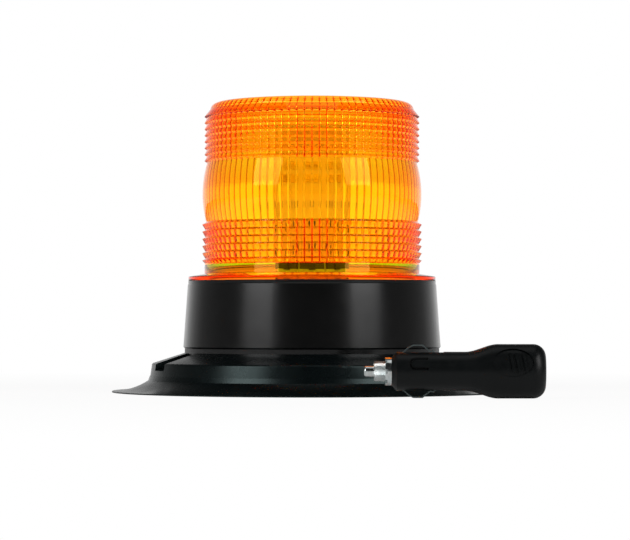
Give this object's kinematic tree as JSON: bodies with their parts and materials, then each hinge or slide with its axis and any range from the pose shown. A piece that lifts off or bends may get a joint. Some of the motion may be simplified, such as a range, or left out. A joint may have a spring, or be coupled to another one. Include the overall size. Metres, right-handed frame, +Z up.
{
  "type": "magnetic led beacon",
  "caption": "Amber vehicle warning beacon: ribbed lens on a black drum with an LED tower inside, a magnetic suction base and a socket plug beside it.",
  "frame": {"origin": "on the beacon's axis, at the resting face of the magnet's scuff pad", "axes": "+Z up along the beacon's axis, +X to the right of the picture and along the plug, +Y away from the viewer, to the lead inlet"},
  "size_m": [0.236, 0.2545, 0.1663],
  "materials": {
    "amber_lens": "clear amber polycarbonate, polished",
    "drum_plastic": "satin moulded ABS",
    "boot_rubber": "moulded rubber with a soft sheen",
    "seal_rubber": "matt",
    "zinc_steel": "zinc plated",
    "ferrite": "matt sintered",
    "tower_aluminium": "satin anodised",
    "insert_brass": "turned",
    "board_white": "white solder mask",
    "board_green": "green solder mask",
    "led_package": "phosphor yellow",
    "chip_plastic": "matt epoxy",
    "capacitor_sleeve": "shrink sleeve",
    "choke_ferrite": "lacquered",
    "terminal_plastic": "moulded",
    "wire_insulation": "soft insulation",
    "plug_plastic": "satin moulded",
    "plug_nickel": "bright nickel plate",
    "fuse_glass": "clear"
  },
  "bodies": {
    "beacon": {"suction_boot": "boot_rubber", "carrier_plate": "zinc_steel", "magnet_cup": "zinc_steel", "ring_magnet": "ferrite", "scuff_pad": "seal_rubber", "centre_bolt": "zinc_steel", "centre_nut": "zinc_steel", "mount_washers": "zinc_steel", "mount_bolts": "zinc_steel", "threaded_inserts": "insert_brass", "drum_housing": "drum_plastic", "lead_grommet": "seal_rubber", "lens_seal": "seal_rubber", "lens": "amber_lens", "lens_screws": "zinc_steel", "inner_deck": "drum_plastic", "deck_screws": "zinc_steel", "led_tower": "tower_aluminium", "tower_screws": "zinc_steel", "tower_cap": "drum_plastic", "leds_lower_row": "led_package", "leds_upper_row": "led_package", "board_standoffs": "insert_brass", "driver_board": "board_green", "board_screws": "zinc_steel", "filter_capacitors": "capacitor_sleeve", "filter_choke": "choke_ferrite", "driver_chips": "chip_plastic", "terminal_block": "terminal_plastic", "tower_wires": "wire_insulation", "led_board_1": "board_white", "led_board_2": "board_white", "led_board_3": "board_white", "led_board_4": "board_white", "led_board_5": "board_white", "led_board_6": "board_white", "led_board_7": "board_white", "led_board_8": "board_white"},
    "plug": {"plug_shell_front": "plug_plastic", "plug_shell_back": "plug_plastic", "plug_screw": "zinc_steel", "nose_ring": "plug_nickel", "plug_fuse": "fuse_glass", "tip_spring": "zinc_steel"},
    "nose_cap": {"nose_cap": "plug_nickel"},
    "tip_pin": {"tip_pin": "plug_nickel"},
    "contact_upper": {"contact_upper": "plug_nickel"},
    "contact_lower": {"contact_lower": "plug_nickel"}
  },
  "joints": [
    {"name": "plug_lift", "type": "slide", "parent": "beacon", "child": "plug", "axis": [0, 0, 1], "range_m": [0, 0.15]},
    {"name": "cap_unscrew", "type": "hinge", "parent": "plug", "child": "nose_cap", "pos_m": [0.027, -0.13, 0.01423], "axis": [1, 0, 0], "continuous": true},
    {"name": "tip_press", "type": "slide", "parent": "nose_cap", "child": "tip_pin", "axis": [1, 0, 0], "range_m": [0, 0.0035], "stiffness_N_per_m": 1500, "deforming": ["tip_spring"]},
    {"name": "contact_upper_press", "type": "slide", "parent": "plug", "child": "contact_upper", "axis": [0, 0, -1], "range_m": [0, 0.003], "stiffness_N_per_m": 2000},
    {"name": "contact_lower_press", "type": "slide", "parent": "plug", "child": "contact_lower", "axis": [0, 0, 1], "range_m": [0, 0.003], "stiffness_N_per_m": 2000}
  ]
}
